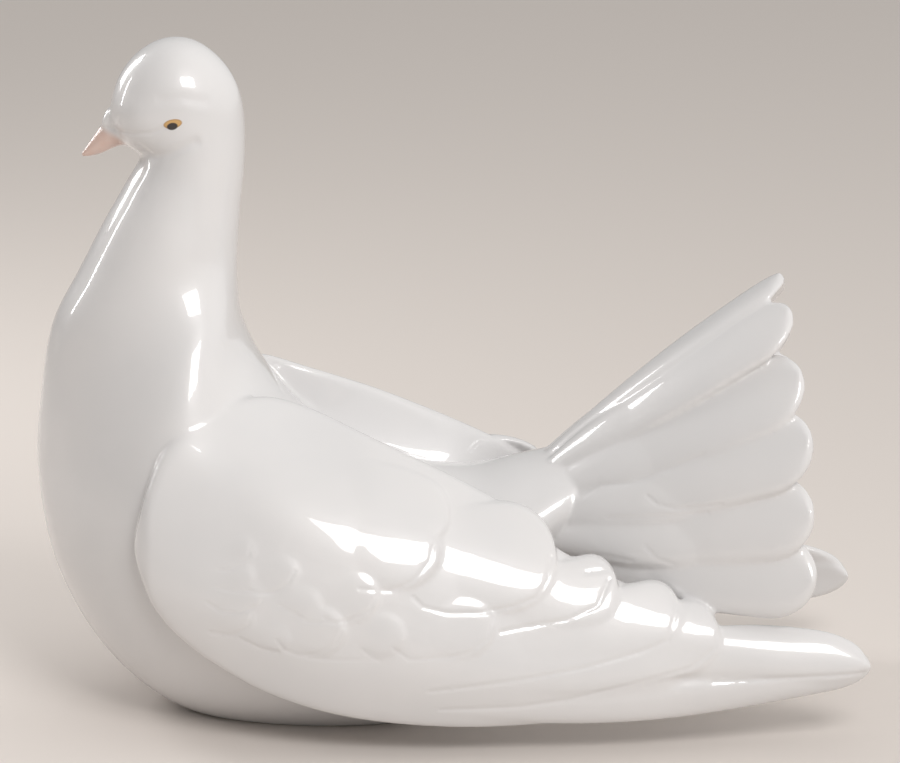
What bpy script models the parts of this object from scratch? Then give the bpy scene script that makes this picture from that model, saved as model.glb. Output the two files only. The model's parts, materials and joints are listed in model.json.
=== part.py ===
"""A glazed porcelain dove, cast in one piece, resting on the flat of its breast.

The bird faces -X, its left side faces -Y and +Z is up. The origin is the middle of
the flat that it rests on. Run it with: blender --background --python part.py
"""

import math

import bmesh
import bpy
import numpy as np

# Driving dimensions, in metres
HEIGHT = 0.2095  # from the table to the crown of the head
WING_EDGE = 0.0088  # thickness of a wing along its free edge
FLIGHT_THICKNESS = 0.0056  # of the feathers that reach past the wing
TAIL_THICKNESS = 0.0050
FEATHER_STEP = 0.0010  # how far a feather's tip stands over the one behind it
FULL_STEP_WIDTH = 9  # narrower feathers stand less proud
FLIGHT_TAPER = 3.3  # length of a feather's narrowing tip in half widths
WING_TAPER = 1.7
TAIL_TAPER = 1.25
MOST_TAPER = 0.5  # and at most this share of the feather
FEATHER_ROOT = 0.0030  # how deep a feather starts under the wing's skin
VENT_RADIUS = 0.0030  # the hole that lets the air out of the casting
VENT_DEPTH = 0.0120
VENT_FROM_ORIGIN = 0.0240
TABLE_CUT = 0.05  # height of the block that cuts the flat

GLAZE_COLOUR = (0.86, 0.83, 0.80, 1)

# The tables below give the pose and the carving as places on a bird 209.5 high
UNIT = HEIGHT / 209.5

# Fineness of the surfaces
BODY_MESH = (28, 24)
FACE_MESH = (12, 18)
BILL_MESH = (9, 10)
CERE_MESH = (6, 8)
WING_MESH = (22, 16)
LONG_MESH = (11, 8)
SHORT_MESH = (7, 8)
TAIL_MESH = (10, 8)
VENT_SIDES = 24
SHARP_EDGE = 50  # degrees from which an edge is shaded as sharp

# Body, from inside the tail to the crown: back x, z, belly x, z, half the width, and
# how far the widest place lies towards the back
BODY = [
    (94, 83, 91, 69, 3, 0),
    (90, 88, 86, 63, 11, 0),
    (83, 85.5, 80, 58, 17, 0),
    (76.5, 81.5, 74, 54, 22.5, 0),
    (68, 79.5, 66, 47, 27, 0),
    (57, 77, 58, 35, 31.5, 0),
    (42, 74, 47, 17, 37, 0),
    (24, 76.5, 35, 0, 43.5, 0),
    (4, 84, 18, -7, 49, 0),
    (-10, 94, -10, -8, 51.5, 0),
    (-18.5, 105, -38, -3.5, 51.5, 0),
    (-22.5, 111.5, -57, 6, 49.5, 0),
    (-25, 117, -74, 24, 45.5, 0.04),
    (-27, 123, -85.6, 48, 40, 0.18),
    (-27.8, 130, -89.9, 76, 32.9, 0.32),
    (-28, 137, -88.3, 99, 27.3, 0.26),
    (-27.8, 144, -84.5, 120, 23, 0.14),
    (-27.2, 152, -76, 137, 20.6, 0.04),
    (-26.4, 160, -68.5, 151.5, 18.6, 0),
    (-25.4, 168, -61.7, 163.5, 16.9, 0),
    (-25.1, 174.5, -57.6, 172.2, 16.1, 0),
    (-25, 180.5, -61, 179, 16.2, 0),
    (-25.4, 187, -64.6, 186.5, 16.6, 0),
    (-26.8, 193, -64.6, 192.5, 16.4, 0),
    (-29.6, 198.6, -62.4, 198, 14.8, 0),
    (-33.6, 203.3, -58.6, 203, 12, 0),
    (-38.6, 207, -53.4, 206.8, 8, 0),
    (-43.5, 208.7, -48.5, 208.6, 3, 0),
]

# Face, which stands a little proud of the neck, and the swelling over the bill
FACE_CENTRE = (-50.5, 0, 186.9)
FACE_RADII = (15.2, 16.3, 14.9)
FACE_TURN = 0
CERE_CENTRE = (-66, 2.2, 184.4)
CERE_RADII = (1.7, 1.9, 3.4)
CERE_TURN = 32
# Bill, from inside the head to the tip: top x, z, underside x, z, half the width,
# and how far the widest place lies towards the top
BILL = [
    (-52, 188, -54, 176, 7, 0),
    (-60, 188.5, -58, 175.6, 6.4, 0),
    (-64.6, 187.2, -61.3, 175.6, 5.2, 0),
    (-66.6, 185, -63.6, 175.2, 4.2, 0),
    (-68.7, 181.6, -66, 174.2, 3.2, 0),
    (-70.9, 178.4, -68.6, 173, 2.3, 0),
    (-73, 175.4, -71.4, 172.2, 1.4, 0),
    (-74.4, 173.4, -73.6, 172, 0.8, 0),
    (-75, 172.4, -74.8, 171.9, 0.2, 0),
]

# Face of the wing: x, the heights of its low line and its high line, and how far it
# is from the middle of the bird at five even steps from the low line to the high one
WING_FACE = [
    (-62, 42, 98, 50.5, 49.5, 48.8, 47.2, 45.5),
    (-45, 34, 103, 54.5, 55.6, 52.8, 47.6, 41.5),
    (-30, 27.5, 104.5, 57.2, 59.6, 56.0, 48.2, 34.0),
    (-10, 18.5, 101, 59.5, 63.0, 59.3, 49.2, 27.0),
    (15, 12, 91.5, 60.5, 63.6, 60.9, 51.8, 33.3),
    (40, 10.5, 79.5, 60.5, 62.8, 58.9, 51.4, 37.6),
    (62, 11, 68, 59.5, 61.2, 57.5, 51.7, 40.9),
    (85, 12.5, 55, 57.5, 58.4, 56.2, 51.8, 44.8),
    (110, 14, 45.5, 54.3, 55.0, 53.6, 51.1, 45.6),
    (135, 14.5, 41, 51.0, 52.0, 51.7, 49.2, 45.0),
    (165, 15, 38, 46.8, 48.2, 47.9, 46.0, 44.5),
]
PAST_FACE = 0.2  # how far past either line the face goes on, as a share of its height
# Outline of the wing without its flight feathers: x, low edge, high edge
WING_OUTLINE = [
    (-58, 62, 64),
    (-57, 55.5, 70),
    (-54.2, 48.6, 79.5),
    (-49, 40.6, 91),
    (-41.5, 33.3, 98.5),
    (-32, 26.8, 102.5),
    (-20, 20.2, 103.5),
    (-6, 15.3, 99.6),
    (8, 12.1, 94),
    (24, 10.2, 87),
    (40, 9.4, 79.6),
    (54, 9.6, 72),
    (65, 10.2, 63),
    (78, 11, 55.5),
    (92, 12, 49),
    (104, 13.6, 43),
    (112, 16.5, 37),
    (116, 23, 30),
]
# The wing is thickest under its top, where it runs into the back
WING_FILL = 27
WING_FILL_SLOPES = (0.45, 1.15)  # from the low edge, from the high edge
WING_FREE = (38, 72)  # between these x it parts from the body
WING_END = 0.4  # how blunt the wing's two ends are
WING_SQUARENESS = 3.4  # of its edges, where 2 is round
FEATHER_SQUARENESS = 2.6
TIP_ROUNDNESS = 2.3

# Feathers of the wing: root, middle and tip on its face (x, z), half the width,
# and how far the whole feather is raised
FLIGHTS = [
    ((16, 17), (94, 16.4), (163.3, 25.8), 6.4, 0.0),
    ((70, 27), (118, 30.5), (162, 26.4), 8.2, 0.8),
]
SECONDARIES = [
    ((28, 25.5), (73, 28.3), (118, 35.8), 9.2, 0.4),
    ((31, 32), (70, 37.2), (105.5, 42.7), 8.7, 0.9),
    ((37, 49), (64, 48.6), (86.5, 50.8), 9.2, 1.4),
]
COVERTS = [
    ((16, 62), (43, 60.5), (68.5, 58), 14.5, 1.4),
    ((-8, 71), (13, 66), (33.5, 61.8), 11, 1.6),
    ((-5, 84.5), (16, 78.3), (36, 70), 8.5, 0.3),
    ((16, 47.5), (34, 41.8), (50, 42), 9.2, 0.1),
    ((-4, 48), (11, 42), (23, 38.8), 7.4, 0.1),
    ((-26, 47.5), (-8, 42), (5.5, 42), 8, 0.2),
    ((-38, 46.5), (-23, 41.4), (-11, 38.7), 5.6, 0.0),
    ((-13, 58), (3, 52), (15.5, 51.2), 8, 0.4),
    ((-26, 56), (-12, 51.9), (-2, 48.6), 5.6, 0.1),
    ((-33, 63.5), (-19, 58.8), (-8.5, 58.6), 6.2, 0.3),
    ((-42, 62.5), (-31, 59.1), (-21.5, 56.8), 4.9, 0.1),
    ((-41, 69), (-30, 64.8), (-21.5, 65), 5.6, 0.3),
    ((-42, 56), (-29, 51.6), (-18.5, 50.9), 4.9, 0.1),
    ((-42, 50), (-31, 45), (-21.5, 45), 5.6, 0.0),
]
FEATHER_RAMP = (0.15, 1)  # the shares of its length between which a feather rises
FEATHER_SUNK = 0.5  # the share of its length over which it comes out of the skin
FEATHER_WAIST = 0.75  # its width at the root, as a share of its width
FEATHER_FULL = 0.7  # where on its length it has its full width
FEATHER_CAMBER = 0.3  # how much lower a feather's edges are than its middle

# Tail feathers from the top one down one side: root, tip, half the width
TAIL = [
    ((60, 0, 73.5), (137, 0, 136), 10.5),
    ((60, -6, 71), (138.6, -19.5, 129.5), 12),
    ((60, -11, 67), (141.6, -33, 112.8), 13.2),
    ((60, -15, 62.5), (144.2, -43, 95.6), 13.4),
    ((60, -17.5, 58), (144.8, -49, 74), 13.4),
    ((60, -18.5, 54.5), (145.6, -53, 54.3), 13.2),
]
TAIL_COVERTS = [
    ((60, -7, 70), (106, -13, 104), 8),
    ((60, -12, 66.5), (112, -25.5, 93), 9),
    ((60, -16, 62), (117, -35.5, 79), 9.5),
    ((60, -18, 57.5), (115, -40, 63), 9),
]
TAIL_COVERT_LIFT = 1.3
TAIL_WAIST = 0.5  # a feather's width at its root, as a share of its width
TAIL_LAP = 7  # degrees by which each feather is turned to lie on the next one
TAIL_BOW = 2.4  # how far a feather arches over between root and tip


def curve(stations, rows, places):
    """Rows that stand at stations, read at other places on a smooth curve."""
    slopes = np.gradient(rows, stations, axis=0)
    first = np.clip(np.searchsorted(stations, places, side="right") - 1, 0, len(stations) - 2)
    span = (stations[first + 1] - stations[first])[:, None]
    part = np.clip((places - stations[first])[:, None] / span, 0, 1)
    low, high = rows[first], rows[first + 1]
    rise = part * part * (3 - 2 * part)
    bend_low = part * (1 - part) ** 2
    bend_high = part * part * (part - 1)
    bend = slopes[first] * bend_low + slopes[first + 1] * bend_high
    return low + (high - low) * rise + span * bend


def smooth(rows, places):
    """Rows at fractional row numbers, on a smooth curve through all of them."""
    return curve(np.arange(len(rows)), np.asarray(rows, float), places)


def ease(low, high, value):
    """0 below low, 1 above high and a soft rise between them."""
    part = np.clip((value - low) / (high - low), 0, 1)
    return part * part * (3 - 2 * part)


def squared(wave, power):
    """A sine or cosine drawn out, so that a circle becomes a rounded square."""
    return np.sign(wave) * np.abs(wave) ** (2 / power)


def wing_face(x, z):
    """How far the wing's face is from the middle of the bird."""
    table = np.asarray(WING_FACE, float)
    rows = curve(table[:, 0], table[:, 1:], x)
    low, high, reaches = rows[:, 0], rows[:, 1], rows[:, 2:]
    steps = reaches.shape[1] - 1
    place = np.clip((z - low) / (high - low), -PAST_FACE, 1 + PAST_FACE) * steps
    first = np.clip(np.floor(place).astype(int), 0, steps - 1)[:, None]
    part = np.clip(place - first[:, 0], 0, 1)
    slopes = np.gradient(reaches, axis=1)
    start, end, start_slope, end_slope = (
        np.take_along_axis(values, column, 1)[:, 0]
        for values, column in ((reaches, first), (reaches, first + 1), (slopes, first), (slopes, first + 1))
    )
    rise = part * part * (3 - 2 * part)
    bend = start_slope * part * (1 - part) ** 2 + end_slope * part * part * (part - 1)
    past = place - np.clip(place, 0, steps)
    return start + (end - start) * rise + bend + past * np.where(past < 0, start_slope, end_slope)


def make(name, mesh_size, place, group):
    """A ball whose points are moved to place(along, around), as a closed skin."""
    rings, sides = mesh_size
    form = bmesh.new()
    bmesh.ops.create_uvsphere(form, u_segments=sides, v_segments=rings, radius=1)
    ball = np.array([vert.co for vert in form.verts])
    along = np.arccos(np.clip(ball[:, 2], -1, 1)) / math.pi
    around = np.arctan2(ball[:, 1], ball[:, 0])
    for vert, point in zip(form.verts, place(along, around)):
        vert.co = point * UNIT
    bmesh.ops.recalc_face_normals(form, faces=form.faces)
    mesh = bpy.data.meshes.new(name)
    form.to_mesh(mesh)
    form.free()
    mesh.shade_smooth()
    thing = bpy.data.objects.new(name, mesh)
    group.objects.link(thing)
    return thing


def loft(rows):
    """Elliptical rings between a top line and a bottom line, closed at both ends."""

    def place(along, around):
        table = smooth(rows, along * (len(rows) - 1))
        top, bottom, width, skew = table[:, 0:2], table[:, 2:4], table[:, 4], table[:, 5]
        middle = (top + bottom) / 2
        arm = (bottom - top) / 2
        inner = (along > 1e-4) & (along < 1 - 1e-4)
        down = np.where(inner, np.cos(around), 0)
        across = np.where(inner, np.sin(around) * (1 - skew * np.cos(around)), 0)
        return np.column_stack((
            middle[:, 0] + arm[:, 0] * down,
            width * across,
            middle[:, 1] + arm[:, 1] * down,
        ))

    return place


def turned_ball(centre, radii, degrees):
    """An egg turned about the Y axis."""
    cos, sin = math.cos(math.radians(degrees)), math.sin(math.radians(degrees))

    def place(along, around):
        ring = np.sin(math.pi * along)
        x = radii[0] * ring * np.cos(around)
        y = radii[1] * ring * np.sin(around)
        z = radii[2] * np.cos(math.pi * along)
        return np.column_stack((
            centre[0] + x * cos + z * sin,
            centre[1] + y,
            centre[2] - x * sin + z * cos,
        ))

    return place


def wing_place(side):
    """The wing as a slab that follows its face and is filled in towards the back."""

    def place(along, around):
        rows = smooth(WING_OUTLINE, along * (len(WING_OUTLINE) - 1))
        x, low, high = rows.T
        ring = np.clip(np.sin(math.pi * along) / WING_END, 0, 1)
        across = squared(np.cos(around), WING_SQUARENESS)
        out = squared(np.sin(around), WING_SQUARENESS) * ring
        z = (low + high) / 2 + (high - low) / 2 * across * (0.5 + 0.5 * ring)
        fill = np.minimum(WING_FILL_SLOPES[0] * (z - low), WING_FILL_SLOPES[1] * (high - z))
        fill = np.clip(fill, 0, WING_FILL) * (1 - ease(*WING_FREE, x))
        edge = WING_EDGE / UNIT
        middle = wing_face(x, z) - edge / 2
        reach = middle + np.where(out > 0, edge / 2, edge / 2 + fill) * out
        return np.column_stack((x, side * reach, z))

    return place


def feather_shape(along, across, width, root_share, tip_length):
    """Places along a feather's line, and across it, for a rounded tip."""
    run = (1 - np.cos(math.pi * along)) / 2
    tip = np.clip((run - 1 + tip_length) / tip_length, 0, 1)
    grow = root_share + (1 - root_share) * ease(0, FEATHER_FULL, run)
    return run, across * width * grow * (1 - tip ** TIP_ROUNDNESS) ** 0.5


def wing_feather(side, root, middle, tip, width, rise, thickness, taper=WING_TAPER):
    """A feather that lies on the wing's face, buried at its root."""
    line = np.array((root, middle, tip), float)
    length = np.linalg.norm(line[2] - line[0])
    step = FEATHER_STEP / UNIT * min(1, width / FULL_STEP_WIDTH) ** 2

    def place(along, around):
        across = squared(np.cos(around), FEATHER_SQUARENESS)
        out = squared(np.sin(around), FEATHER_SQUARENESS)
        tip_length = min(MOST_TAPER, taper * width / length)
        run, off = feather_shape(along, across, width, FEATHER_WAIST, tip_length)
        spot = smooth(line, run * 2)
        ahead = smooth(line, np.minimum(run + 0.02, 1) * 2) - smooth(line, np.minimum(run, 0.98) * 2)
        ahead /= np.linalg.norm(ahead, axis=1)[:, None]
        x = spot[:, 0] - ahead[:, 1] * off
        z = spot[:, 1] + ahead[:, 0] * off
        top = (rise + step) * ease(*FEATHER_RAMP, run) - FEATHER_ROOT / UNIT * (1 - ease(0, FEATHER_SUNK, run))
        top = top - FEATHER_CAMBER * across ** 2
        reach = wing_face(x, z) + top - thickness / 2 + thickness / 2 * out
        return np.column_stack((x, side * reach, z))

    return place


def tail_line(number):
    """Where a tail feather's tip is, counting on past the top one to the other side."""
    tip = np.array(TAIL[min(abs(number), len(TAIL) - 1)][1], float)
    if number < 0:
        tip[1] = -tip[1]
    return tip


def tail_feather(side, root, tip, width, number, thickness, lift):
    """A feather that follows the arch of the tail and lies on the one below it."""
    root = np.array(root, float)
    tip = np.array(tip, float)
    ahead = (tip - root) / np.linalg.norm(tip - root)
    down_way = tail_line(number + 1) - tail_line(number - 1)
    down_way -= ahead * down_way.dot(ahead)
    down_way /= np.linalg.norm(down_way)
    out_way = np.cross(down_way, ahead)
    turn = math.radians(TAIL_LAP if number else 0)
    across_way = down_way * math.cos(turn) + out_way * math.sin(turn)
    face_way = out_way * math.cos(turn) - down_way * math.sin(turn)

    def place(along, around):
        across = squared(np.cos(around), FEATHER_SQUARENESS)
        out = squared(np.sin(around), FEATHER_SQUARENESS)
        length = np.linalg.norm(tip - root)
        run, off = feather_shape(along, across, width, TAIL_WAIST, TAIL_TAPER * width / length)
        bow = 4 * TAIL_BOW * run * (1 - run)
        depth = lift + bow - across ** 2 + thickness / 2 * (out - 1)
        points = root + np.outer(run, tip - root) + np.outer(off, across_way) + np.outer(depth, face_way)
        points[:, 1] *= side
        return points

    return place


def glaze(name):
    """Glossy white porcelain, a little warm."""
    material = bpy.data.materials.new(name)
    material.use_nodes = True
    shader = material.node_tree.nodes["Principled BSDF"]
    shader.inputs["Base Color"].default_value = GLAZE_COLOUR
    shader.inputs["Roughness"].default_value = 0.08
    shader.inputs["Metallic"].default_value = 0
    shader.inputs["Coat Weight"].default_value = 0.6
    material.diffuse_color = GLAZE_COLOUR
    return material


def hide(thing):
    thing.hide_render = True
    thing.display_type = "WIRE"


def add_wing(side, group):
    name = "left" if side < 0 else "right"
    make(f"{name}_wing", WING_MESH, wing_place(side), group)
    flight = FLIGHT_THICKNESS / UNIT
    for number, row in enumerate(FLIGHTS):
        make(f"{name}_flight_{number}", LONG_MESH, wing_feather(side, *row, flight, FLIGHT_TAPER), group)
    for number, row in enumerate(SECONDARIES):
        make(f"{name}_secondary_{number}", LONG_MESH, wing_feather(side, *row, flight), group)
    for number, row in enumerate(COVERTS):
        make(f"{name}_covert_{number}", SHORT_MESH, wing_feather(side, *row, flight), group)


def add_tail(side, group):
    name = "left" if side < 0 else "right"
    thickness = TAIL_THICKNESS / UNIT
    for number, (root, tip, width) in enumerate(TAIL):
        if number == 0 and side > 0:
            continue
        place = tail_feather(-side, root, tip, width, number, thickness, 0)
        make(f"{name}_tail_{number}", TAIL_MESH, place, group)
    for number, (root, tip, width) in enumerate(TAIL_COVERTS):
        place = tail_feather(-side, root, tip, width, number + 1, thickness, TAIL_COVERT_LIFT)
        make(f"{name}_tail_covert_{number}", SHORT_MESH, place, group)


def cylinder(name, radius, depth, centre, group):
    form = bmesh.new()
    bmesh.ops.create_cone(form, cap_ends=True, segments=VENT_SIDES, radius1=radius, radius2=radius, depth=depth)
    mesh = bpy.data.meshes.new(name)
    form.to_mesh(mesh)
    form.free()
    thing = bpy.data.objects.new(name, mesh)
    thing.location = centre
    group.objects.link(thing)
    return thing


def block(name, size, centre, group):
    form = bmesh.new()
    bmesh.ops.create_cube(form, size=1)
    bmesh.ops.scale(form, vec=size, verts=form.verts)
    mesh = bpy.data.meshes.new(name)
    form.to_mesh(mesh)
    form.free()
    thing = bpy.data.objects.new(name, mesh)
    thing.location = centre
    group.objects.link(thing)
    return thing


def boolean(thing, name, operation, group):
    step = thing.modifiers.new(name, "BOOLEAN")
    step.operation = operation
    step.operand_type = "COLLECTION"
    step.collection = group
    step.solver = "EXACT"


def collection(name):
    group = bpy.data.collections.new(name)
    bpy.context.scene.collection.children.link(group)
    return group


def skins_of(form):
    """The faces of a mesh in groups, each a skin whose edges join two faces."""
    left = set(form.faces)
    while left:
        skin = []
        reached = [left.pop()]
        while reached:
            face = reached.pop()
            skin.append(face)
            for edge in face.edges:
                if len(edge.link_faces) != 2:
                    continue
                for other in edge.link_faces:
                    if other in left:
                        left.remove(other)
                        reached.append(other)
        yield skin


def cast_solid(thing):
    """Applies the Booleans and fills the pinholes sealed in between the shapes."""
    graph = bpy.context.evaluated_depsgraph_get()
    mesh = bpy.data.meshes.new_from_object(thing.evaluated_get(graph))
    form = bmesh.new()
    form.from_mesh(mesh)
    skins = sorted(skins_of(form), key=len)
    for pinhole in skins[:-1]:
        bmesh.ops.delete(form, geom=pinhole, context="FACES")
    form.to_mesh(mesh)
    form.free()
    thing.modifiers.clear()
    thing.data = mesh
    mesh.shade_smooth()
    mesh.set_sharp_from_angle(angle=math.radians(SHARP_EDGE))


def build():
    for thing in list(bpy.data.objects):
        bpy.data.objects.remove(thing, do_unlink=True)
    kept = collection("porcelain_dove")
    shapes = collection("dove_shapes")
    cutters = collection("cutters")

    dove = make("dove", BODY_MESH, loft(BODY), kept)
    dove.data.materials.append(glaze("white_porcelain"))
    make("face", FACE_MESH, turned_ball(FACE_CENTRE, FACE_RADII, FACE_TURN), shapes)
    make("bill", BILL_MESH, loft(BILL), shapes)
    for side in (-1, 1):
        centre = (CERE_CENTRE[0], side * CERE_CENTRE[1], CERE_CENTRE[2])
        make(f"cere_{side}", CERE_MESH, turned_ball(centre, CERE_RADII, CERE_TURN), shapes)
        add_wing(side, shapes)
        add_tail(side, shapes)

    block("below_table", (HEIGHT, HEIGHT, TABLE_CUT), (0, 0, -TABLE_CUT / 2), cutters)
    cylinder("vent", VENT_RADIUS, 2 * VENT_DEPTH, (VENT_FROM_ORIGIN, 0, 0), cutters)
    for thing in list(shapes.objects) + list(cutters.objects):
        hide(thing)
    boolean(dove, "shapes", "UNION", shapes)
    boolean(dove, "table", "DIFFERENCE", cutters)
    cast_solid(dove)


build()
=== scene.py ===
"""Looks of the glazed porcelain dove: its fine surface, glaze, paint and the studio.

The shapes are made as the CAD solid's are, in the same frame and mostly from the same
numbers, with a slightly slimmer neck and flatter, crisper feathers. They are drawn finely,
fused into one skin, softened as a glaze softens an edge and scored with fine lines.
"""

import json
import math

import bmesh
import bpy
import numpy as np
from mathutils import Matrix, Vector

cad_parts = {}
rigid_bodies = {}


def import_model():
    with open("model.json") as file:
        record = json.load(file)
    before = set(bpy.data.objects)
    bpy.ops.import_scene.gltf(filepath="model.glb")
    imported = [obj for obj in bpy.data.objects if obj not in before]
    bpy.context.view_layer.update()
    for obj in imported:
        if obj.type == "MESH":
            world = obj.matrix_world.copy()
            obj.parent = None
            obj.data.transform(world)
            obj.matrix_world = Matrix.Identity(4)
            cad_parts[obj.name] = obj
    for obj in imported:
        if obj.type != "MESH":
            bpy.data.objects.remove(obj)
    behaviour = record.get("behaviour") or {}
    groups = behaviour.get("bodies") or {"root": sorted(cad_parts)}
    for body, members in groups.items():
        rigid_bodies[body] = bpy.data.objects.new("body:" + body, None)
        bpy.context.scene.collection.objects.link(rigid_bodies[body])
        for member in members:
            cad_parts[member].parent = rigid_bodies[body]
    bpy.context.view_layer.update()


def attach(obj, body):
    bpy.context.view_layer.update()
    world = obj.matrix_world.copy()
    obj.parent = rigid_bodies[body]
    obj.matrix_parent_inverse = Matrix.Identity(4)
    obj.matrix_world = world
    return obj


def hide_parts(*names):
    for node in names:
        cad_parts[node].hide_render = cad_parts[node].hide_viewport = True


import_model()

# Driving dimensions, in metres
HEIGHT = 0.2095  # from the table to the crown of the head
WING_EDGE = 0.0088  # thickness of a wing along its free edge
FLIGHT_THICKNESS = 0.0056  # of the feathers that reach past the wing
TAIL_THICKNESS = 0.0050
FEATHER_STEP = 0.0010  # how far a feather's tip stands over the one behind it
FULL_STEP_WIDTH = 9  # narrower feathers stand less proud
FLIGHT_TAPER = 2.5  # length of a feather's narrowing tip in half widths
SECONDARY_TAPER = 1.1
COVERT_TAPER = 1.3
TAIL_TAPER = 1.25
MOST_TAPER = 0.5  # and at most this share of the feather
FEATHER_ROOT = 0.0010  # how deep a feather starts under the wing's skin
VENT_RADIUS = 0.0030  # the hole that lets the air out of the casting
VENT_DEPTH = 0.0120
VENT_FROM_ORIGIN = 0.0240
TABLE_CUT = 0.05  # height of the block that cuts the flat

# The tables below give the pose and the carving as places on a bird 209.5 high
UNIT = HEIGHT / 209.5

# Fineness of the shapes before they are fused
BODY_MESH = (260, 200)
FACE_MESH = (90, 120)
BILL_MESH = (70, 56)
CERE_MESH = (40, 48)
WING_MESH = (220, 150)
LONG_MESH = (110, 48)
SHORT_MESH = (56, 44)
TAIL_MESH = (90, 52)
VENT_SIDES = 48

VOXEL = 0.0006  # grain of the fused skin
MOST_TRIANGLES = 190000
GLAZE_PASSES = 5  # rounds of smoothing, which is how far the glaze fills a step
HEAD_PASSES = 50
SHOULDER_PASSES = 4
PASS_SHARE = 0.5  # how far a round moves a point towards the middle of its neighbours
BILL_SPARED = 0.7  # the share of the smoothing that the bill is spared
THROAT_SPARED = 0.85  # and the throat

# Where each part is smoothed, as the places in metres between which that fades in
BILL_X, BILL_Z = (-0.061, -0.067), (0.165, 0.170)
THROAT_X, THROAT_Z = (-0.049, -0.053), (0.180, 0.176)
HEAD_X, HEAD_Z = (-0.010, -0.020), (0.150, 0.160)
SHOULDER_X, SHOULDER_LOW_Z, SHOULDER_HIGH_Z = (0.015, -0.005), (0.045, 0.055), (0.150, 0.140)

# Body, from inside the tail to the crown: back x, z, belly x, z, half the width, and
# how far the widest place lies towards the back
BODY = [
    (94, 83, 91, 69, 3, 0),
    (90, 88, 86, 63, 11, 0),
    (83, 85.5, 80, 58, 17, 0),
    (76.5, 81.5, 74, 54, 22.5, 0),
    (68, 79.5, 66, 47, 27, 0),
    (57, 77, 58, 35, 31.5, 0),
    (42, 74, 47, 17, 37, 0),
    (24, 76.5, 35, 0, 43.5, 0),
    (4, 84, 18, -7, 49, 0),
    (-10, 94, -10, -8, 51.5, 0),
    (-18.5, 105, -38, -3.5, 51.5, 0),
    (-22.5, 111.5, -57, 6, 49.5, 0),
    (-25, 117, -74, 24, 45.5, 0.04),
    (-27, 123, -85.6, 48, 39.3, 0.2),
    (-27.8, 130, -89.9, 76, 31, 0.36),
    (-28, 137, -88.3, 99, 25.5, 0.28),
    (-27.8, 144, -84.5, 120, 22.1, 0.14),
    (-27.2, 152, -76, 137, 20.4, 0.04),
    (-26.4, 160, -68.5, 151.5, 18.6, 0),
    (-25.4, 168, -61.7, 163.5, 16.9, 0),
    (-25.1, 174.5, -56.8, 173, 16.1, 0),
    (-25, 180.5, -61, 179, 16.2, 0),
    (-25.4, 187, -64.6, 186.5, 16.6, 0),
    (-26.8, 193, -64.6, 192.5, 16.4, 0),
    (-29.6, 198.6, -62.4, 198, 14.8, 0),
    (-33.6, 203.3, -58.6, 203, 12, 0),
    (-38.6, 207, -53.4, 206.8, 8, 0),
    (-43.5, 208.7, -48.5, 208.6, 3, 0),
]

# Face, which stands a little proud of the neck, and the swelling over the bill
FACE_CENTRE = (-50.5, 0, 186.9)
FACE_RADII = (15.2, 16.3, 14.9)
FACE_TURN = 0
CERE_CENTRE = (-66, 2.2, 184.4)
CERE_RADII = (1.7, 1.9, 3.4)
CERE_TURN = 32
# Bill, from inside the head to the tip: top x, z, underside x, z, half the width,
# and how far the widest place lies towards the top
BILL = [
    (-52, 188, -54, 176, 7, 0),
    (-60, 188.5, -58, 175.6, 6.4, 0),
    (-64.6, 187.2, -61.3, 175.6, 5.2, 0),
    (-66.6, 185, -63.6, 175.2, 4.2, 0),
    (-68.7, 181.6, -66, 174.2, 3.2, 0),
    (-70.9, 178.4, -68.6, 173, 2.3, 0),
    (-73, 175.4, -71.4, 172.2, 1.4, 0),
    (-74.4, 173.4, -73.6, 172, 0.8, 0),
    (-75, 172.4, -74.8, 171.9, 0.2, 0),
]

# Face of the wing: x, the heights of its low line and its high line, and how far it
# is from the middle of the bird at five even steps from the low line to the high one
WING_FACE = [
    (-62, 42, 98, 50.5, 49.5, 48.8, 47.2, 45.5),
    (-45, 34, 103, 54.5, 55.6, 52.0, 46.4, 40.8),
    (-30, 27.5, 104.5, 57.2, 59.6, 55.0, 46.6, 33.0),
    (-10, 18.5, 101, 59.5, 63.0, 59.3, 49.2, 27.0),
    (15, 12, 91.5, 60.5, 63.6, 60.9, 51.8, 33.3),
    (40, 10.5, 79.5, 60.5, 62.8, 58.9, 51.4, 37.6),
    (62, 11, 68, 59.5, 61.2, 57.5, 51.7, 40.9),
    (85, 12.5, 55, 57.5, 58.4, 56.2, 51.8, 44.8),
    (110, 14, 45.5, 54.3, 55.0, 53.6, 51.1, 45.6),
    (135, 14.5, 41, 51.0, 52.0, 51.7, 49.2, 45.0),
    (165, 15, 38, 46.8, 48.2, 47.9, 46.0, 44.5),
]
PAST_FACE = 0.2  # how far past either line the face goes on, as a share of its height
# Outline of the wing without its flight feathers: x, low edge, high edge
WING_OUTLINE = [
    (-58, 62, 64),
    (-57, 55.5, 70),
    (-54.2, 48.6, 79.5),
    (-49, 40.6, 91),
    (-41.5, 33.3, 98.5),
    (-32, 26.8, 102.5),
    (-20, 20.2, 103.5),
    (-6, 15.3, 99.6),
    (8, 12.1, 94),
    (24, 10.2, 87),
    (40, 9.4, 79.6),
    (54, 9.6, 72),
    (65, 10.2, 63),
    (78, 11, 55.5),
    (92, 12, 49),
    (104, 13.6, 43),
    (112, 16.5, 37),
    (116, 23, 30),
]
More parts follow.
